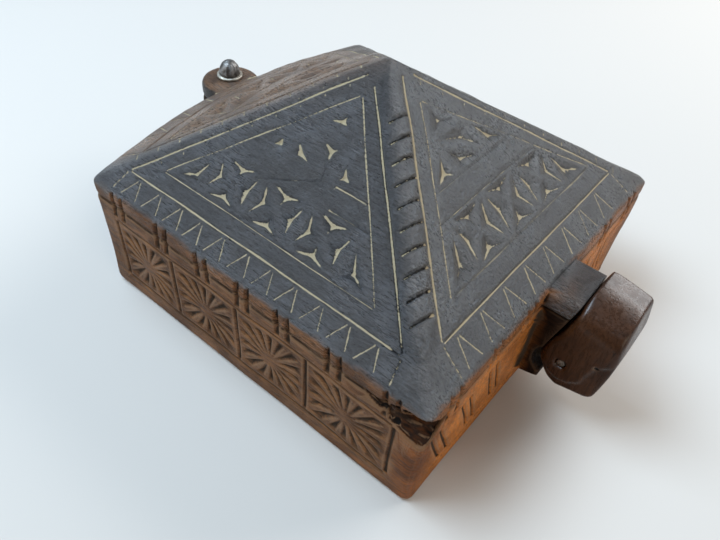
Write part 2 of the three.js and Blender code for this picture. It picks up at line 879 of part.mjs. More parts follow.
// The room inside the hasp, which the tongues fill when it is closed.
function slotShape(radius, wallX) {
  const reach = Math.acos((wallX - haspPinX) / radius);
  const shape = new THREE.Shape();
  shape.moveTo(wallX, haspPinZ - cutterReach);
  shape.lineTo(wallX, haspPinZ + radius * Math.sin(reach));
  shape.absarc(haspPinX, haspPinZ, radius, reach, Math.PI - 0.3, false);
  shape.lineTo(haspPinX - radius, haspPinZ - cutterReach);
  return shape;
}

// A bar along X whose two upper edges are rounded over, the near one more than the far one.
function roundedBar(lowX, highX, lowY, highY, lowZ, highZ, nearRound, farRound) {
  const shape = new THREE.Shape();
  shape.moveTo(lowY, lowZ);
  shape.lineTo(highY, lowZ);
  shape.lineTo(highY, highZ - farRound);
  shape.quadraticCurveTo(highY, highZ, highY - farRound, highZ);
  shape.lineTo(lowY + nearRound, highZ);
  shape.quadraticCurveTo(lowY, highZ, lowY, highZ - nearRound);
  const geometry = new THREE.ExtrudeGeometry(shape, {
    depth: highX - lowX,
    bevelEnabled: false,
    curveSegments: 8,
  });
  geometry.rotateX(Math.PI / 2);
  geometry.rotateZ(Math.PI / 2);
  geometry.translate(lowX, 0, 0);
  return solid(geometry);
}

// The tongue's outline from inside the wall to its round end, all inside the hasp's slot.
function tongueBlank() {
  return sideways(
    slotShape(haspSlotRadius - tongueTopClearance, haspPinX + tongueReach),
    tongueLow,
    tongueHigh,
  );
}

function haspRoom() {
  const low = lugLow - cutterOver;
  const high = lugHigh + cutterOver;
  return sideways(haspShape(knuckleClearance), low, high).add(sideways(heelPocket(), low, high));
}

function frontTongue(lowZ, highZ) {
  const kept = block(halfX - sideWall / 2, haspOuterX, tongueLow, tongueHigh, lowZ, highZ);
  return tongueBlank().intersect(kept);
}

function makeBody() {
  const taperAt = (z) => bodyLean * (1 - z / bodyHeight);
  const sections = [
    [0, footRound], [footRound * 0.3, footRound * 0.3], [footRound, 0],
    [bodyHeight - topEase, 0], [bodyHeight, topEase],
  ];
  const outer = skin(sections.map(([z, inset]) => ring(
    halfX - taperAt(z) - inset, halfY - taperAt(z) - inset, cornerRadius, z, 0, 0,
    (y) => bowOut(y),
  )));
  const walls = wallGrounds();
  const carving = [];
  walls.forEach((ground, i) => {
    carving.push(...borderLines(ground), ...notchCuts(ground, i));
    carving.push(...(i % 2 === 1 ? slantedPairs(ground, i) : starPanels(ground)));
  });
  const wellX = (bodyLength - 2 * sideWall - partitionThickness) / 4;
  const wellY = (bodyWidth - 2 * sideWall - partitionThickness) / 4;
  const wells = [[-1, -1], [1, -1], [1, 1], [-1, 1]].map(([signX, signY]) => {
    const centreX = signX * (wellX + partitionThickness / 2);
    const centreY = signY * (wellY + partitionThickness / 2);
    const bow = signX < 0 ? (y) => bowOut(y) : () => 0;
    const levels = [
      [floorThickness, wellFootRound],
      [floorThickness + wellFootRound, wellFootRound * 0.2],
      [bodyHeight + 1, 0],
    ];
    return skin(levels.map(([z, inset]) => ring(
      wellX - inset, wellY - inset, wellRadius, z, centreX, centreY, bow,
    )));
  });
  const broken = brokenCorner(bodyHeight, chippedAlongX, chippedAlongY, chippedDown);
  const shell = outer.subtract(joined([...carving, ...wells, broken]));

  const wallX = halfX - sideWall / 2;
  const lipX = halfX + lipReach;
  const under = new THREE.Shape();
  under.moveTo(wallX, lugFootZ);
  under.lineTo(halfX, lugFootZ);
  under.lineTo(lipX, lugFootZ + lugFootSlope * lipReach);
  under.lineTo(lipX, haspPinZ);
  under.lineTo(haspPinX, haspPinZ);
  under.lineTo(haspPinX, bodyHeight);
  under.lineTo(wallX, bodyHeight);
  const shoulder = sideways(under, lugLow, lugHigh, lugEdge).subtract(haspRoom());
  const knuckle = levelRod(tongueKnuckle, tongueLow, tongueHigh, rodSides);
  const tongue = frontTongue(haspPinZ, bodyHeight).add(knuckle)
    .add(block(
      wallX, haspPinX, tongueLow, tongueHigh, haspPinZ - tongueKnuckle, haspPinZ + tongueTie,
    ));
  const rearEnd = rearLugX - rearLugRadius - cutterOver;
  const wallFoot = rearLugFoot - rearLugSlope;
  const rearSlope = new THREE.Shape();
  rearSlope.moveTo(-halfX, wallFoot - cutterOver);
  rearSlope.lineTo(-halfX, wallFoot);
  rearSlope.lineTo(pivotX + roveRadius + roveMargin, rearLugFoot);
  rearSlope.lineTo(rearEnd, rearLugFoot);
  rearSlope.lineTo(rearEnd, wallFoot - cutterOver);
  const slopeHalf = rearLugRadius + cutterOver;
  const rearLug = upright(rearLugShape(), wallFoot - rearLugEase, bodyHeight, rearLugEase)
    .subtract(sideways(rearSlope, rearLugY - slopeHalf, rearLugY + slopeHalf));
  return shell.add(rearLug).add(shoulder).add(tongue)
    .subtract(uprightRod(pivotRadius + boreClearance, 0, bodyHeight + 1))
    .subtract(levelRod(haspPinRadius + boreClearance, tongueLow - 1, tongueHigh + 1));
}

function makeLid() {
  const toward = (share, inset) => ring(
    (halfX - inset) * (1 - share), (halfY - inset) * (1 - share),
    cornerRadius * (1 - share) + 0.2, rimTop + roofRise * share, apexX * share, apexY * share,
    (y) => bowOut(y, 1 - share, apexY * share),
  );
  const atRim = (z, inset) => ring(
    halfX - inset, halfY - inset, cornerRadius, z, 0, 0, (y) => bowOut(y),
  );
  const outer = skin([
    atRim(lidFoot, topEase), atRim(lidFoot + topEase, 0), atRim(rimTop - rimRound, 0),
    atRim(rimTop + 0.1, rimRound), toward(roofFootShare, 0), toward(roofTopShare, 0),
    toward(roofTipShare, tipInset),
  ]);
  const hip = ropeFrame();
  const carving = ropeCuts(hip);
  roofGrounds().forEach((face, i) => {
    const bands = i % 2 === 0 ? sideBands : endBands;
    const ground = fitted(face, bands);
    carving.push(...roofFaceCuts(ground, bands, i % 2 === 0 ? sideChips : endChips));
    carving.push(...hipTicks(ground, i));
  });
  wallGrounds().forEach((ground, i) => carving.push(...notchCuts(ground, i)));
  const insideWall = (z) => ring(
    halfX - lidWall, halfY - lidWall, wellRadius, z, 0, 0, (y) => bowOut(y),
  );
  const hollow = skin([
    insideWall(lidFoot - 1),
    insideWall(lidFoot + hollowRim),
    ring(
      hollowTopHalf, hollowTopHalf, wellRadius,
      rimTop - roofThickness + roofRise * (1 - hollowTopHalf / halfX), apexX / 2, apexY / 2,
    ),
  ]);
  const broken = brokenCorner(lidFoot, lidChippedAlongX, lidChippedAlongY, -lidChippedUp);
  const shell = outer.add(ropeBand(hip)).subtract(joined([...carving, hollow, broken]));
  const wallX = halfX - sideWall / 2;
  const frontLug = roundedBar(
    wallX, haspPinX + lugOverPin, lugLow, lugHigh, lidFoot, rimTop, lugNearRound, lugFarRound,
  ).subtract(haspRoom()).add(frontTongue(lidFoot, rimTop));
  const seat = uprightRod(collarRadius + seatGap, rearLugTop, rearLugTop + domeHeight, rodSides);
  const rearLug = upright(rearLugShape(), lidFoot, rearLugTop, rearLugEase);
  return shell.add(frontLug).add(rearLug).subtract(seat)
    .subtract(uprightRod(pivotRadius + boreClearance, lidFoot - 1, rearLugTop + 1));
}

function makeHasp() {
  const low = lugLow - haspNearProud;
  const high = lugHigh + haspFarProud;
  const over = roundedBar(
    halfX, haspOuterX + cutterOver, low, high, 0, haspTopZ, haspNearRound, haspFarRound,
  );
  const plan = new THREE.Shape();
  plan.moveTo(halfX, low);
  plan.lineTo(haspOuterX - haspPlanRound, low);
  plan.quadraticCurveTo(haspOuterX, low, haspOuterX, low + haspPlanRound);
  plan.lineTo(haspOuterX, high - haspPlanRound);
  plan.quadraticCurveTo(haspOuterX, high, haspOuterX - haspPlanRound, high);
  plan.lineTo(halfX, high);
  const outer = sideways(haspShape(), low, high, haspEdge)
    .intersect(over)
    .intersect(upright(plan, 0, haspTopZ + 1));
  const wallX = haspOuterX - haspOuterWall;
  const slot = sideways(
    slotShape(haspSlotRadius, wallX),
    tongueLow - tongueClearance,
    tongueHigh + tongueClearance,
  );
  const recess = block(
    haspPinX - haspRecessSide / 2, haspPinX + haspRecessSide / 2,
    low - 1, low + haspRecessDepth,
    haspPinZ - haspRecessSide / 2, haspPinZ + haspRecessSide / 2,
  );
  const field = new THREE.Shape();
  const beyond = haspOuterX + 2 * cutterOver;
  const above = haspTopZ + 2 * cutterOver;
  field.moveTo(halfX, haspPinZ + fieldSeamRise + 2);
  field.lineTo(haspPinX - knuckleRadius + 1.6, haspPinZ + fieldSeamRise);
  for (const [x, z] of fieldOutline) {
    field.lineTo(haspPinX + x, haspPinZ + z);
  }
  field.lineTo(beyond, haspPinZ + fieldOuterRise);
  field.lineTo(beyond, above);
  field.lineTo(halfX, above);
  const border = block(
    halfX, haspOuterX + cutterOver, low - 1, low + haspBorderDepth, 0, haspTopZ + cutterOver,
  ).subtract(sideways(field, low - 2, low + 2));
  return outer.subtract(slot).subtract(recess).subtract(border)
    .subtract(levelRod(haspPinRadius + boreClearance, low - 1, high + 1));
}

function makePivotPin() {
  const headFoot = rearLugTop + collarThickness + 2 * seatGap;
  const low = rearLugFoot - roveThickness - 2 * seatGap - clenchHeight;
  const profile = [new THREE.Vector2(0, 0), new THREE.Vector2(domeRadius, 0)];
  const steps = 5;
  for (let i = 1; i < steps; i += 1) {
    const angle = Math.PI / 2 * i / steps;
    profile.push(new THREE.Vector2(domeRadius * Math.cos(angle), domeHeight * Math.sin(angle)));
  }
  profile.push(new THREE.Vector2(0, domeHeight));
  const geometry = new THREE.LatheGeometry(profile, domeRibs * 2);
  geometry.rotateX(Math.PI / 2);
  const position = geometry.attributes.position;
  for (let i = 0; i < position.count; i += 1) {
    const angle = Math.atan2(position.getY(i), position.getX(i));
    const rib = 1 + domeRibDepth * Math.cos(domeRibs * angle);
    position.setXY(i, position.getX(i) * rib, position.getY(i) * rib);
  }
  geometry.translate(pivotX, pivotY, headFoot);
  const clench = uprightRod(pivotRadius + clenchSpread, low, low + clenchHeight, 12);
  return solid(geometry).add(uprightRod(pivotRadius, low, headFoot + 1)).add(clench);
}

function washer(radius, low, thickness) {
  const outline = circle(new THREE.Shape(), pivotX, pivotY, radius);
  outline.holes.push(circle(new THREE.Path(), pivotX, pivotY, pivotRadius + boreClearance));
  return upright(outline, low, low + thickness);
}

function makeHaspPin() {
  const low = lugLow - haspNearProud + haspPinSunk;
  const high = lugHigh + haspFarProud - haspPinShy;
  return levelRod(haspPinRadius, low, high, 16);
}

const box = new THREE.Group();
box.name = 'bindi_box';
const moving = new THREE.Group();
moving.name = 'moving_pieces';
box.add(piece('box_body', makeBody(), 0x2e221b, 0.5, 0));
moving.add(piece('lid', makeLid(), 0x262422, 0.42, 0));
moving.add(piece('hasp', makeHasp(), 0x2c1f1d, 0.34, 0));
box.add(moving);
box.add(piece('pivot_pin', makePivotPin(), 0x3a3835, 0.45, 0.85));
box.add(piece(
  'pivot_collar', washer(collarRadius, rearLugTop + seatGap, collarThickness), 0x77726a, 0.5, 0.8,
));
box.add(piece(
  'pivot_rove', washer(roveRadius, rearLugFoot - roveThickness - seatGap, roveThickness),
  0x4a4641, 0.55, 0.8,
));
box.add(piece('hasp_pin', makeHaspPin(), 0x5a554e, 0.5, 0.85));

export default box;
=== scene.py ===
import math

import bmesh
import bpy
import numpy as np
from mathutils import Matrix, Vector


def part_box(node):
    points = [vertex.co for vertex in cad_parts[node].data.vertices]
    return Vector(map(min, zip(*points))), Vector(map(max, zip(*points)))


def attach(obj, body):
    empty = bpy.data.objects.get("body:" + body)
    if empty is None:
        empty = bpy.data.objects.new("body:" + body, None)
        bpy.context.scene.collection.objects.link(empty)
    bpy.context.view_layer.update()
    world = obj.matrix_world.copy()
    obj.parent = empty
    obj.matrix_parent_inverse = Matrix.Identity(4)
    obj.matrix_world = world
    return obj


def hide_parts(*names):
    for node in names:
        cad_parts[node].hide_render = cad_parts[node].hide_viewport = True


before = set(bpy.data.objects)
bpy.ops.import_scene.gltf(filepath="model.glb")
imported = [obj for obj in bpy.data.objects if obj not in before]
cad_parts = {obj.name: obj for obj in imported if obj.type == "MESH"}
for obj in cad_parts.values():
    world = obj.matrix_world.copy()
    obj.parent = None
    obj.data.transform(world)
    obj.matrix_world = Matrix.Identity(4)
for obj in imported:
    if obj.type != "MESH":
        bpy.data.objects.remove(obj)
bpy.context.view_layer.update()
scene = bpy.context.scene
scene.view_settings.view_transform = "Standard"

# The camera looks down on the near corner, from where the photograph was taken. Its place, its
# turn and its lens were fitted to the box's edges.
camera_data = bpy.data.cameras.new("camera")
camera_data.sensor_width = 36
camera_data.lens = 33.49
camera_data.clip_start = 0.01
camera = bpy.data.objects.new("camera", camera_data)
camera.location = (0.15088, -0.2303, 0.27649)
camera.rotation_euler = [math.radians(turn) for turn in (44.677, -4.67, 39.413)]
scene.collection.objects.link(camera)
scene.camera = camera


# The block: one piece of dark wood, hollowed into four wells, its walls carved with a V tool.
# Its solid is remeshed finely, then its edges are worn and its faces made uneven, as by hand.
# Its shapes are worked on in millimetres: the front faces +X, and the near side -Y.
front_x = 101.2
side_y = 102.2
rear_lug_x = -119.5
seam = 59.35
pivot = np.array([-126, 11])
# The wall tones are the wood's warm brown with painted warm bounce light in them: one for the front,
# one for the near side and one for the near corner post.
front_wood_and_painted_bounce = np.array([0.48, 0.175, 0.033])
side_wood_and_painted_bounce = np.array([0.165, 0.078, 0.032])
post_wood_and_painted_bounce = np.array([0.2, 0.066, 0.011])
well_tone = (0.06, 0.03, 0.017)
lug_tone = (0.016, 0.008, 0.005)


def fine_copy(node, name, voxel):
    """A copy of a solid whose skin is an even, fine grid, in metres."""
    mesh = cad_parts[node].data.copy()
    welded = bmesh.new()
    welded.from_mesh(mesh)
    bmesh.ops.remove_doubles(welded, verts=welded.verts, dist=1e-6)
    welded.to_mesh(mesh)
    welded.free()
    piece = bpy.data.objects.new(name, mesh)
    scene.collection.objects.link(piece)
    even = piece.modifiers.new("even", "REMESH")
    even.mode = "VOXEL"
    even.voxel_size = voxel
    apply_all(piece)
    return piece


def apply_all(piece):
    """Turns a piece's modifiers into plain mesh."""
    graph = bpy.context.evaluated_depsgraph_get()
    shaped = bpy.data.meshes.new_from_object(piece.evaluated_get(graph))
    piece.modifiers.clear()
    piece.data = shaped
    shaped.name = piece.name


def read(mesh, what="co"):
    values = np.empty(len(mesh.vertices) * 3, np.float32)
    mesh.vertices.foreach_get(what, values)
    return values.reshape(-1, 3).astype(float)


def read_edges(mesh):
    ends = np.empty(len(mesh.edges) * 2, np.int32)
    mesh.edges.foreach_get("vertices", ends)
    return ends.reshape(-1, 2)


def settled(values, ends, rounds, share=0.5):
    """The same values after each has moved towards its neighbours' mean, several times."""
    first, second = ends[:, 0], ends[:, 1]
    count = len(values)
    many = np.bincount(first, minlength=count) + np.bincount(second, minlength=count)
    for _ in range(rounds):
        mean = np.stack([
            (np.bincount(first, values[second, axis], count)
             + np.bincount(second, values[first, axis], count)) / many
            for axis in range(values.shape[1])
        ], axis=1)
        values = values + share * (mean - values)
    return values


def drift(points, size, seed):
    """Smooth noise from -1 to 1 that changes over about size millimetres."""
    table = np.random.RandomState(seed).uniform(-1, 1, (32, 32, 32))
    cell = points / size + 100
    low = np.floor(cell).astype(int)
    part = cell - low
    part = part * part * (3 - 2 * part)
    total = np.zeros(len(points))
    for corner in range(8):
        step = np.array([corner & 1, corner >> 1 & 1, corner >> 2 & 1])
        at = (low + step) % 32
        total += table[at[:, 0], at[:, 1], at[:, 2]] * np.prod(
            np.where(step, part, 1 - part), axis=1)
    return total


def ease(values, low, high):
    """0 below low, 1 above high and a smooth step between."""
    share = np.clip((values - low) / (high - low), 0, 1)
    return share * share * (3 - 2 * share)


def hand_made(piece, rounds, wander, dents, calm):
    """Wears the edges and lets cuts and faces wander; calm is 0 where the shape must hold."""
    mesh = piece.data
    ends = read_edges(mesh)
    place = settled(read(mesh) * 1000, ends, rounds)
    mesh.vertices.foreach_set("co", (place / 1000).ravel())
    mesh.update()
    outward = read(mesh, "normal")
    free = calm(place)[:, None]
    wandering = np.stack([drift(place, 24, seed) for seed in (11, 12, 13)], axis=1)
    uneven = 0.6 * drift(place, 9, 14) + 0.4 * drift(place, 4, 15)
    place += free * (wander * wandering + dents * uneven[:, None] * outward)
    return place, ends, outward


def off_pivot(place):
    return np.linalg.norm(place[:, :2] - pivot, axis=1)


def within(place, reach):
    """True where a place is less than reach from the middle, both along X and along Y."""
    return np.maximum(abs(place[:, 0]), abs(place[:, 1])) < reach


def on_front_lug(place):
    return place[:, 0] > front_x + 0.6


def on_rear_lug(place):
    return place[:, 0] < rear_lug_x + 0.05 * abs(place[:, 1])


def split_seam(place, ends, outward):
    """Wears back the edges along the seam, so that it reads as one dark, uneven crack."""
    sideways = settled(outward, ends, 8)
    sideways[:, 2] = 0
    close = 1 - ease(abs(place[:, 2] - seam), 0.2, 1.9)
    close *= ease(off_pivot(place), 20, 26) * (place[:, 0] < front_x + 0.4)
    towards_near = 1.1 + 0.6 * ease(place[:, 0] - place[:, 1], 40, 190)
    wear = 0.45 + 0.3 * drift(place, 7, 31) + 0.25 * drift(place, 2.5, 32)
    return place - sideways * (close * towards_near * wear)[:, None]


def torn(place, outward, reach, facing):
    """Pulls fibres out of the face where a corner broke away, and returns 1 on that face, the
    new places and a shade. The shade darkens the broken wood, partly as its own dark colour and
    partly as painted shadow in the break, and leaves the pulled fibres lighter. The face meets
    the corner's edges at reach and looks along facing."""
    corner = ((front_x - place[:, 0]) / reach[0] + (side_y + place[:, 1]) / reach[1]
              + abs(place[:, 2] - seam) / reach[2])
    face = 1 - ease(abs(corner - 1), 0.05, 0.16)
    face *= (place[:, 0] > 60) * (place[:, 1] < -70) * (outward @ np.array(facing) > 0.6)
    fibres = 0.5 + 0.5 * drift(place * (0.22, 1, 1), 1.7, 33)
    steps = 0.5 + 0.5 * drift(place * (0.5, 1, 1), 5, 34)
    place = place - outward * (face * (1.3 * fibres + 1.6 * steps))[:, None]
    return face, place, 1 - face * (0.95 - 1.1 * fibres ** 2)


def finish_wood(piece, place, ends, box, tone, bare, waxed, keep):
    """Writes the shape, its creases, hollows, ridges and colour zones, and thins the mesh.
    A crease or a hollow is how many millimetres its bottom lifts when the shape is smoothed.
    No dust stays where bare is 1. The wood is dull and its edges unworn where waxed is 0.
    The thinning spares the bottoms and rims of the cuts."""
    mesh = piece.data
    place = np.clip(place, box[0], box[1])
    mesh.vertices.foreach_set("co", (place / 1000).ravel())
    mesh.update()
    outward = read(mesh, "normal")
    fine = np.sum((settled(place, ends, 3) - place) * outward, axis=1)
    wide = np.sum((settled(place, ends, 16) - place) * outward, axis=1)
    for name, values in (("crease", fine * (1 - bare)), ("star", wide * (1 - bare)),
                         ("hollow", wide), ("ridge", -fine), ("waxed", waxed)):
        mesh.attributes.new(name, "FLOAT", "POINT").data.foreach_set(
            "value", np.clip(values, 0, 2))
    painted = np.ones((len(place), 4))
    painted[:, :3] = settled(tone, ends, 4)
    mesh.attributes.new("tone", "FLOAT_COLOR", "POINT").data.foreach_set(
        "color", painted.ravel())
    spared = piece.vertex_groups.new(name="spared")
    spared.add(np.flatnonzero(abs(fine) > 0.02).tolist(), 1.0, "REPLACE")
    triangles = 2 * len(mesh.polygons)
    if triangles > keep:
        thin = piece.modifiers.new("thin", "DECIMATE")
        thin.ratio = keep / triangles
        thin.vertex_group = "spared"
        thin.invert_vertex_group = True
        thin.vertex_group_factor = 5e-6
        apply_all(piece)
    piece.vertex_groups.clear()
    piece.data.shade_smooth()


def add(tree, kind, inputs=None, **settings):
    """Adds a shader node. An input is a number, a colour or another node's output."""
    node = tree.nodes.new("ShaderNode" + kind)
    for key, value in settings.items():
        setattr(node, key, value)
    for key, value in (inputs or {}).items():
        if isinstance(value, bpy.types.NodeSocket):
            tree.links.new(value, node.inputs[key])
        else:
            node.inputs[key].default_value = value
    return node


def ramp(tree, factor, low, high, smooth=True):
    """A factor stretched so that low becomes 0 and high becomes 1."""
    kind = "SMOOTHSTEP" if smooth else "LINEAR"
    return add(tree, "MapRange", {"Value": factor, "From Min": low, "From Max": high},
               interpolation_type=kind).outputs[0]


def mixed(tree, factor, first, second, blend="MIX"):
    node = add(tree, "Mix", data_type="RGBA", blend_type=blend)
    for socket, value in ((0, factor), (6, first), (7, second)):
        if isinstance(value, bpy.types.NodeSocket):
            tree.links.new(value, node.inputs[socket])
        else:
            node.inputs[socket].default_value = value
    return node.outputs[2]


def maths(tree, operation, first, second):
    return add(tree, "Math", {0: first, 1: second}, operation=operation).outputs[0]


def wood(name, grain, worn, dust, dusty, rough, gloss, relief, contrast=1.0):
    """Waxed old wood: long grain, open pores, painted shade in the hollows, pale dust in creases, worn
    ridges.
    """
    material = bpy.data.materials.new(name)
    material.use_nodes = True
    tree = material.node_tree
    surface = tree.nodes["Principled BSDF"]
    place = add(tree, "TexCoord").outputs["Object"]
    stretched = add(tree, "Mapping", {"Vector": place, "Scale": grain}).outputs[0]
    fibre = add(tree, "TexNoise", {
        "Vector": stretched, "Scale": 1, "Detail": 6, "Roughness": 0.7, "Distortion": 0.5,
    }).outputs[0]
    pore = add(tree, "TexNoise", {
        "Vector": stretched, "Scale": 3.1, "Detail": 3, "Roughness": 0.75}).outputs[0]
    patch = add(tree, "TexNoise", {
        "Vector": place, "Scale": 42, "Detail": 4, "Roughness": 0.6}).outputs[0]
    speck = add(tree, "TexNoise", {
        "Vector": place, "Scale": 700, "Detail": 3, "Roughness": 0.7}).outputs[0]
    tone = add(tree, "Attribute", attribute_name="tone").outputs["Color"]
    crease, star, hollow, ridge, waxed = (
        add(tree, "Attribute", attribute_name=value).outputs["Fac"]
        for value in ("crease", "star", "hollow", "ridge", "waxed"))

    light = mixed(tree, 1.0, tone, (1.5, 1.42, 1.34, 1), "MULTIPLY")
    deep = mixed(tree, 1.0, tone, (0.5, 0.48, 0.48, 1), "MULTIPLY")
    strength = add(tree, "MapRange", {
        "Value": ramp(tree, fibre, 0.36, 0.64), "To Min": 0.5 - contrast / 2,
        "To Max": 0.5 + contrast / 2}).outputs[0]
    grained = mixed(tree, strength, deep, light)
    pitted = mixed(tree, ramp(tree, pore, 0.6, 0.7), grained, (0.006, 0.005, 0.004, 1))
    blotched = mixed(tree, ramp(tree, patch, 0.4, 0.62), pitted,
                     mixed(tree, 1.0, pitted, (0.6, 0.57, 0.56, 1), "MULTIPLY"))
    wear = maths(tree, "MULTIPLY", ramp(tree, ridge, 0.02, 0.06), 0.5)
    rubbed = mixed(tree, maths(tree, "MULTIPLY", wear, waxed), blotched, worn)
    # Painted shade: deep hollows are darkened to near black, as shade falls in them.
    dark = mixed(tree, ramp(tree, hollow, 0.04, 0.26), rubbed, (0.007, 0.0055, 0.005, 1))
    grime = maths(tree, "ADD", patch, maths(tree, "MULTIPLY", speck, 0.4))
    shift = maths(tree, "MULTIPLY", maths(tree, "SUBTRACT", grime, 0.7), 0.09)
    lines = ramp(tree, maths(tree, "ADD", crease, shift), 0.034, 0.054)
    pits = ramp(tree, maths(tree, "ADD", star, maths(tree, "MULTIPLY", shift, 1.2)), 0.128, 0.16)
    filled = maths(tree, "MAXIMUM", maths(tree, "MULTIPLY", lines, 0.72), pits)
    settled_dust = maths(tree, "MULTIPLY", filled, dusty)
    thin_dust = mixed(tree, 1.0, dust, (0.72, 0.75, 0.8, 1), "MULTIPLY")
    powder = mixed(tree, pits, thin_dust, dust)
    tree.links.new(mixed(tree, settled_dust, dark, powder), surface.inputs["Base Color"])
    uneven = maths(tree, "ADD", fibre, maths(tree, "MULTIPLY", patch, 0.8))
    shine = add(tree, "MapRange", {
        "Value": uneven, "From Min": 0.65, "From Max": 1.15,
        "To Min": rough - 0.15, "To Max": rough + 0.15}).outputs[0]
    tree.links.new(maths(tree, "ADD", shine, maths(tree, "MULTIPLY", settled_dust, 0.35)),
                   surface.inputs["Roughness"])
    pitting = maths(tree, "ADD", maths(tree, "MULTIPLY", pore, 0.45),
                    maths(tree, "MULTIPLY", speck, 1.2))
    height = maths(tree, "ADD", fibre, pitting)
    bump = add(tree, "Bump", {"Height": height, "Strength": 0.8, "Distance": relief})
    tree.links.new(bump.outputs[0], surface.inputs["Normal"])
    lost = maths(tree, "ADD", ramp(tree, hollow, 0.03, 0.2), ramp(tree, pore, 0.6, 0.7))
    tree.links.new(add(tree, "MapRange", {
        "Value": lost, "To Min": maths(tree, "MULTIPLY", waxed, gloss),
        "To Max": 0.08}).outputs[0],
        surface.inputs["Specular IOR Level"])
    return material


def dress(piece, material, body, slot, *nodes):
    """Gives a piece its material, hangs it from the body it rides with and hides the solids it stands
    for.
    """
    piece.data.materials.clear()
    piece.data.materials.append(material)
    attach(piece, body)
    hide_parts(*nodes)


def box_of(node):
    low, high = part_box(node)
    return np.array(low) * 1000, np.array(high) * 1000


def block_calm(place):
    """The wells, the pin's bore, the tongue and the top edge keep their shape."""
    return (ease(off_pivot(place), 8, 22) * ease(116 - place[:, 0], 0, 12) * ~within(place, 93)
            * ease(seam - place[:, 2], 0.5, 5) * ease(place[:, 2], 0.3, 4))


block = fine_copy("box_body", "block", voxel=0.0006)
place, ends, outward = hand_made(block, rounds=1, wander=0.55, dents=0.14, calm=block_calm)
place = split_seam(place, ends, outward)
broken, place, shade = torn(place, outward, reach=(30, 13, 13), facing=(0.29, -0.68, 0.68))
# Painted warm bounce light: the front and the near post get their own tones over the side tone.
front = ease(place[:, 0], 70, 100) * (1 - ease(abs(place[:, 1]), 80, 101))
tone = side_wood_and_painted_bounce + front[:, None] * (front_wood_and_painted_bounce - side_wood_and_painted_bounce)
post = ease(place[:, 0], 86, 90) * ease(-place[:, 1], 88, 93)
tone = tone + post[:, None] * (post_wood_and_painted_bounce - tone)
tone[within(place, 92)] = well_tone
lugs = on_front_lug(place) | on_rear_lug(place)
tone[lugs] = lug_tone
# Painted shadow: the broken corner is darkened, partly as shade in the break.
tone = tone * shade[:, None]
# Painted shade: the block is darkened to near black just below the seam, where the gap under the lid
# is in shadow.
tone = tone * (0.1 + 0.9 * ease(seam - place[:, 2], 0.7, 1.9))[:, None]
finish_wood(block, place, ends, box_of("box_body"), tone, bare=broken, waxed=1 - 0.75 * lugs,
            keep=190000)
block_wood = wood("block_wood", grain=(90, 620, 900), worn=(0.28, 0.16, 0.085, 1),
                  dust=(0.2, 0.13, 0.08, 1), dusty=0.2, rough=0.5, gloss=0.18, relief=0.0005)
dress(block, block_wood, "body", "block_wood", "box_body")

# The lid: a hollowed pyramid of the same wood, chip-carved on its roof, with a twisted band
# on the near hip. Pale dust has settled in the deepest cuts, and wax gives the roof its sheen.
# Tones are given for the near, front, far and rear faces, in that order. The roof tones hold
# painted sheen, the cool grey of reflected sky on the near and front faces, and the rim tones
# hold painted warm bounce light.
apex = np.array([-4, -2.7, 134.2])
rim_top = 67.4
rear_rim_x = 118
roof_wood_and_painted_sheen = np.array([
    [0.052, 0.057, 0.067], [0.068, 0.067, 0.067], [0.058, 0.05, 0.042], [0.15, 0.085, 0.045],
])
rim_wood_and_painted_bounce = np.array([
    [0.2, 0.088, 0.03], [0.3, 0.12, 0.036], [0.19, 0.085, 0.036], [0.17, 0.08, 0.038],
])
front_lug_tone = (0.034, 0.02, 0.014)
# The rear lug's top is painted lit and its sides are painted in shade.
rear_lug_lit_top, rear_lug_shaded_side = (0.16, 0.09, 0.05), (0.025, 0.016, 0.01)
crack = [(-43.9, -79.1), (-30.6, -71.1), (-17.7, -64), (-5.4, -59.3), (3.6, -55.2), (2, -49.2)]


def shares_out(place):
    """How far out a place lies from the apex towards each face's rim, where it is 1."""
    return np.stack([
        (apex[1] - place[:, 1]) / (apex[1] + side_y), (place[:, 0] - apex[0]) / (front_x - apex[0]),
        (place[:, 1] - apex[1]) / (side_y - apex[1]), (apex[0] - place[:, 0]) / (apex[0] + rear_rim_x),
    ], axis=1)


def over_middle(place):
    """How far a place lies above the middle of the roof's thickness; below 0 is inside."""
    roof_height = apex[2] - (apex[2] - rim_top) * shares_out(place).max(axis=1)
    return place[:, 2] - roof_height + 7


def lid_calm(place):
    """The hollow, the pin's bore, the tongue and the foot keep their shape."""
    hollow = within(place, 93) * (over_middle(place) < 0)
    return (ease(off_pivot(place), 8, 22) * ease(112 - place[:, 0], 0, 12) * ~hollow
            * ease(place[:, 2] - seam, 0.8, 5))


def rounded_over(place, near, top, run, drop, share):
    """Takes off the near upper edge along X: run is how far back it starts, drop how far down."""
    in_from = np.clip((near + run - place[:, 1]) / run, 0, None)
    up_from = np.clip((place[:, 2] - top) / drop + 1, 0, None)
    beyond = np.maximum((in_from ** 2.2 + up_from ** 2.2) ** (1 / 2.2), 1)
    taken = share * (1 - 1 / beyond)
    return place + np.stack([0 * taken, run * in_from * taken, -drop * up_from * taken], axis=1)


def off_crack(place):
    """The level distance to the crack."""
    nearest = np.full(len(place), 99.0)
    for start, end in zip(crack, crack[1:]):
        start, run = np.array(start), np.array(end) - start
        from_start = place[:, :2] - start
        along = np.clip(from_start @ run / (run @ run), 0, 1)[:, None]
        nearest = np.minimum(nearest, np.linalg.norm(from_start - along * run, axis=1))
    return nearest


def off_near_hip(place):
    """The distance to the near hip's line, and how far up the hip that is."""
    foot = np.array([front_x, -side_y, rim_top])
    run = (apex - foot) / np.linalg.norm(apex - foot)
    up = (place - foot) @ run
    return np.linalg.norm(place - foot - up[:, None] * run, axis=1), up


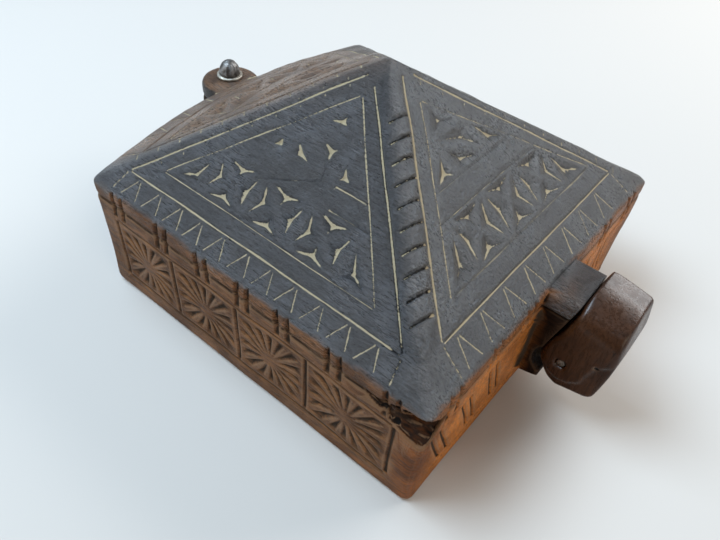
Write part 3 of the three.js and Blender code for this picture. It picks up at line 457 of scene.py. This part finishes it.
lid = fine_copy("lid", "carved_lid", voxel=0.00054)
place, ends, outward = hand_made(lid, rounds=1, wander=0.5, dents=0.19, calm=lid_calm)
place = split_seam(place, ends, outward)
broken, place, shade = torn(place, outward, reach=(24, 10, 8.6), facing=(0.26, -0.63, -0.73))
lug = on_front_lug(place) * (abs(place[:, 1]) < 40)
place = rounded_over(place, near=place[lug, 1].min(), top=place[lug, 2].max(), run=9, drop=4.5,
                     share=lug * ease(place[:, 0], 102, 106))
winding = 0.9 * drift(place, 7, 35) + 0.3 * drift(place, 2, 36)
opened = 1 - ease(off_crack(place) + winding, 0.1, 0.7)
opened *= (over_middle(place) > 0) * (0.6 + 0.4 * drift(place, 9, 37))
place -= outward * (0.28 * opened)[:, None]

shares = shares_out(place)
by_face = np.exp(30 * (shares - shares.max(axis=1, keepdims=True)))
by_face /= by_face.sum(axis=1, keepdims=True)
roof = ease(place[:, 2], 66.5, 67.1)[:, None]
# Painted sheen on the roof faces and painted warm bounce light on the rim, face by face.
tone = roof * (by_face @ roof_wood_and_painted_sheen) + (1 - roof) * (by_face @ rim_wood_and_painted_bounce)
tone[on_front_lug(place)] = front_lug_tone
behind = on_rear_lug(place)
# Painted light and shade: the rear lug's upward faces are lit brown and its sides near black.
tone[behind] = np.where(outward[behind, 2:] > 0.6, rear_lug_lit_top, rear_lug_shaded_side)
# Painted shade: the broken corner and the crack are darkened, partly as shade in them.
tone = tone * (shade * (1 - 0.4 * opened))[:, None]
# Painted shade: the lid is darkened to near black just above the seam, where the gap over the block is
# in shadow.
tone = tone * (0.1 + 0.9 * ease(place[:, 2] - seam, 0.6, 1.6))[:, None]
waxed = np.where(on_front_lug(place), 0.7, 0.2 + 0.8 * roof[:, 0])
waxed[behind] = 0.5

off_hip, up_hip = off_near_hip(place)
band = 0.52 * (1 - ease(off_hip, 5.5, 6.5)) * (up_hip > 0)
beside_band = 0.35 * (off_hip < 12) * (off_hip > 6) * (shares[:, 0] > shares[:, 1])
off_roof = (place[:, 2] < 67) | (place[:, 0] > 99.5)
bare = np.max([broken, opened, off_roof, band, beside_band], axis=0)
finish_wood(lid, place, ends, box_of("lid"), tone, bare, waxed, keep=198000)
lid_wood = wood("lid_wood", grain=(150, 1000, 1000), worn=(0.07, 0.062, 0.055, 1),
                dust=(0.52, 0.43, 0.28, 1), dusty=0.95, rough=0.34, gloss=0.95, relief=0.0015)
dress(lid, lid_wood, "lid", "lid_wood", "lid")

# The hasp: a forked block of denser, purplish wood, handled until it shines. It is cut from
# one piece, turns on a level pin, and hands have rounded its upper near edge.
hasp_axis = np.array([119, 32.5])
hasp_tone = np.array([0.045, 0.017, 0.006])
nick_place = (134, -13.5, 42)
nick_tone = np.array([0.3, 0.22, 0.16])


def hasp_calm(place):
    """The bore keeps its shape."""
    return ease(np.linalg.norm(place[:, [0, 2]] - hasp_axis, axis=1), 6, 14)


hasp = fine_copy("hasp", "turning_hasp", voxel=0.0004)
place, ends, outward = hand_made(hasp, rounds=2, wander=0.2, dents=0.08, calm=hasp_calm)
low, high = box_of("hasp")
slices = np.arange(math.ceil(low[0]), high[0])
crown = [place[abs(place[:, 0] - at) < 0.5, 2].max() for at in slices]
place = rounded_over(place, near=low[1], top=np.interp(place[:, 0], slices, crown), run=24,
                     drop=14, share=ease(place[:, 2], 42, 54))
place = settled(place, ends, 16)
nick = 1 - ease(np.linalg.norm(place - nick_place, axis=1), 0.5, 1.9)
place -= outward * (0.9 * nick)[:, None]
tone = hasp_tone + nick[:, None] * (nick_tone - hasp_tone)
waxed = (1 - nick) * (0.35 + 0.65 * ease(outward[:, 2], 0.1, 0.6))
finish_wood(hasp, place, ends, (low, high), tone, bare=nick, waxed=waxed, keep=120000)
hasp_wood = wood("hasp_wood", grain=(600, 600, 110), worn=(0.07, 0.035, 0.022, 1),
                 dust=(0.2, 0.13, 0.09, 1), dusty=0.2, rough=0.32, gloss=0.55, relief=0.00012,
                 contrast=0.5)
dress(hasp, hasp_wood, "hasp", "hasp_wood", "hasp")

# The upright pin: wrought iron, with a ribbed dome above the collar. It stands in both rear
# lugs, and its lower end is clenched over the rove.
dome_foot = 70.7
dome_high = 8.3
dome_radius = 6.1
shank_radius = 3.0
clench_radius = 4.2
clench_low = 14.1
clench_high = 15.6


def skin(name, rings, closed=False):
    """A smooth piece whose skin runs from ring to ring of points in millimetres. A ring of one
    point closes an end, and closed joins the last ring to the first."""
    shape = bmesh.new()
    corners = [[shape.verts.new(Vector(point) / 1000) for point in ring] for ring in rings]
    around = max(len(ring) for ring in rings)
    for lower, upper in zip(corners, corners[1:] + corners[:1] * closed):
        for i in range(around):
            after = (i + 1) % around
            face = [lower[i % len(lower)], lower[after % len(lower)],
                    upper[after % len(upper)], upper[i % len(upper)]]
            shape.faces.new(list(dict.fromkeys(face)))
    bmesh.ops.recalc_face_normals(shape, faces=shape.faces)
    mesh = bpy.data.meshes.new(name)
    shape.to_mesh(mesh)
    shape.free()
    mesh.shade_smooth()
    piece = bpy.data.objects.new(name, mesh)
    scene.collection.objects.link(piece)
    return piece


def about_pivot(radius, height, around, ribs=0):
    """A level ring about the pivot; ribs is by how much of its radius each point stands out."""
    if radius == 0:
        return [(pivot[0], pivot[1], height)]
    turns = np.arange(around) * 2 * math.pi / around
    out = radius * (1 + ribs)
    return np.stack([pivot[0] + out * np.cos(turns), pivot[1] + out * np.sin(turns),
                     np.full(around, height)], axis=1)


def iron(name, bright, dark, rust, rough):
    """Old wrought iron: dark scale, worn bright patches, specks of rust and a pitted skin."""
    material = bpy.data.materials.new(name)
    material.use_nodes = True
    tree = material.node_tree
    surface = tree.nodes["Principled BSDF"]
    place = add(tree, "TexCoord").outputs["Object"]
    cloud = add(tree, "TexNoise", {
        "Vector": place, "Scale": 300, "Detail": 4, "Roughness": 0.6}).outputs[0]
    pits = add(tree, "TexNoise", {
        "Vector": place, "Scale": 1400, "Detail": 3, "Roughness": 0.7}).outputs[0]
    scale = mixed(tree, ramp(tree, cloud, 0.38, 0.62), dark, bright)
    rusted = mixed(tree, ramp(tree, pits, 0.56, 0.68), scale, rust)
    tree.links.new(rusted, surface.inputs["Base Color"])
    spread = add(tree, "MapRange", {
        "Value": cloud, "To Min": rough + 0.15, "To Max": rough - 0.05}).outputs[0]
    tree.links.new(spread, surface.inputs["Roughness"])
    surface.inputs["Metallic"].default_value = 0.75
    bump = add(tree, "Bump", {"Height": pits, "Strength": 0.5, "Distance": 0.0003})
    tree.links.new(bump.outputs[0], surface.inputs["Normal"])
    return material


rising = [(dome_radius * math.cos(turn), dome_foot + dome_high * math.sin(turn))
          for turn in np.radians(np.arange(2, 88, 5))]
pin_outline = [
    (0, clench_low), (clench_radius - 0.2, clench_low), (clench_radius, clench_low + 0.4),
    (clench_radius, clench_high), (shank_radius, clench_high + 0.3), (shank_radius, dome_foot),
    (dome_radius - 0.3, dome_foot), *rising, (0, dome_foot + dome_high),
]
twelve_ribs = 0.03 * np.cos(12 * np.arange(96) * 2 * math.pi / 96)
pin = skin("pivot_pin_iron", [
    about_pivot(radius, height, 96, twelve_ribs * (radius > shank_radius + 0.3))
    for radius, height in pin_outline
])
pin_iron = iron("pin_iron", bright=(0.3, 0.29, 0.28, 1), dark=(0.09, 0.085, 0.08, 1),
                rust=(0.12, 0.06, 0.035, 1), rough=0.42)
dress(pin, pin_iron, "body", "pin_iron", "pivot_pin")


# The collar under the dome and the rove under the lug: flat rings cut from sheet iron and
# hammered. Both lie loose on the pin, between its heads and the wood.
def hammered_ring(name, inner, outer, low, high):
    """A flat ring with eased edges and a slightly uneven outline."""
    section = [(inner, low + 0.1), (inner + 0.1, low), (outer - 0.25, low), (outer, low + 0.3),
               (outer, high - 0.4), (outer - 0.35, high), (inner + 0.1, high),
               (inner, high - 0.1)]
    turns = np.arange(72) * 2 * math.pi / 72
    uneven = -0.012 * (1 + np.sin(3 * turns + 1) * np.cos(5 * turns))
    return skin(name, [
        about_pivot(radius, height, 72, uneven * (radius > inner + 1))
        for radius, height in section
    ], closed=True)


collar = hammered_ring("collar_iron_ring", inner=3.35, outer=7.6, low=69.0, high=70.4)
collar_iron = iron("collar_iron", bright=(0.52, 0.49, 0.42, 1), dark=(0.3, 0.28, 0.24, 1),
                   rust=(0.22, 0.13, 0.07, 1), rough=0.45)
dress(collar, collar_iron, "body", "collar_iron", "pivot_collar")
rove = hammered_ring("rove_iron_ring", inner=3.35, outer=6.4, low=16.1, high=17.7)
rove_iron = iron("rove_iron", bright=(0.3, 0.28, 0.26, 1), dark=(0.1, 0.09, 0.08, 1),
                 rust=(0.16, 0.08, 0.045, 1), rough=0.5)
dress(rove, rove_iron, "body", "rove_iron", "pivot_rove")

# The hasp's level pin: a rod of iron through the fork and the block's knuckle. Its ends are
# eased and slightly domed, and the near one shows in the hasp's square recess.
rod_radius = 2.2
rod_low = -12.7
rod_high = 18.9
rod_outline = [
    (0, rod_low), (rod_radius - 0.5, rod_low + 0.05), (rod_radius, rod_low + 0.5),
    (rod_radius, rod_high - 0.5), (rod_radius - 0.5, rod_high - 0.05), (0, rod_high),
]


def about_hasp_axis(radius, y, around=40):
    if radius == 0:
        return [(hasp_axis[0], y, hasp_axis[1])]
    turns = np.arange(around) * 2 * math.pi / around
    return np.stack([hasp_axis[0] + radius * np.cos(turns), np.full(around, y),
                     hasp_axis[1] + radius * np.sin(turns)], axis=1)


hasp_pin = skin("hasp_pin_rod", [about_hasp_axis(radius, y) for radius, y in rod_outline])
hasp_pin_iron = iron("hasp_pin_iron", bright=(0.36, 0.31, 0.26, 1), dark=(0.12, 0.1, 0.08, 1),
                     rust=(0.17, 0.09, 0.05, 1), rough=0.4)
dress(hasp_pin, hasp_pin_iron, "body", "hasp_pin_iron", "hasp_pin")

# The floor and the studio: a plain pale sheet, a soft lamp overhead, a second behind and
# a weak warm one beside each of the two near walls.
floor_reach = 9
floor_low = -0.0002
floor_corners = [(floor_reach * x, floor_reach * y, floor_low)
                 for x, y in ((-1, -1), (1, -1), (1, 1), (-1, 1))]
floor_mesh = bpy.data.meshes.new("floor")
floor_mesh.from_pydata(floor_corners, [], [(0, 1, 2, 3)])
floor = bpy.data.objects.new("floor", floor_mesh)
scene.collection.objects.link(floor)
floor_paint = bpy.data.materials.new("floor_paint")
floor_paint.use_nodes = True
floor_surface = floor_paint.node_tree.nodes["Principled BSDF"]
floor_surface.inputs["Base Color"].default_value = (0.59, 0.56, 0.52, 1)
floor_surface.inputs["Roughness"].default_value = 0.9
floor_mesh.materials.append(floor_paint)


def soft_lamp(name, place, size, power, colour):
    """A lit rectangle that faces the box."""
    lamp = bpy.data.lights.new(name, "AREA")
    lamp.shape = "RECTANGLE"
    lamp.size, lamp.size_y = size
    lamp.energy = power
    lamp.color = colour
    holder = bpy.data.objects.new(name, lamp)
    holder.location = place
    aim = Vector((0, 0, 0.06)) - holder.location
    holder.rotation_euler = aim.to_track_quat("-Z", "Y").to_euler()
    scene.collection.objects.link(holder)


soft_lamp("overhead", (-0.52, -0.3, 1.02), (0.8, 0.65), 18.5, (0.64, 0.82, 1))
soft_lamp("behind", (0.32, 0.95, 0.72), (1.0, 0.55), 12.0, (0.98, 0.99, 1))
soft_lamp("left", (-0.6, -1.2, 0.5), (0.5, 0.4), 2.0, (1, 0.88, 0.74))
soft_lamp("right", (1.2, -0.35, 0.4), (0.5, 0.4), 3.8, (1, 0.86, 0.68))
world = bpy.data.worlds.new("studio")
world.use_nodes = True
world.node_tree.nodes["Background"].inputs["Color"].default_value = (0.9, 0.92, 0.95, 1)
world.node_tree.nodes["Background"].inputs["Strength"].default_value = 0.26
scene.world = world
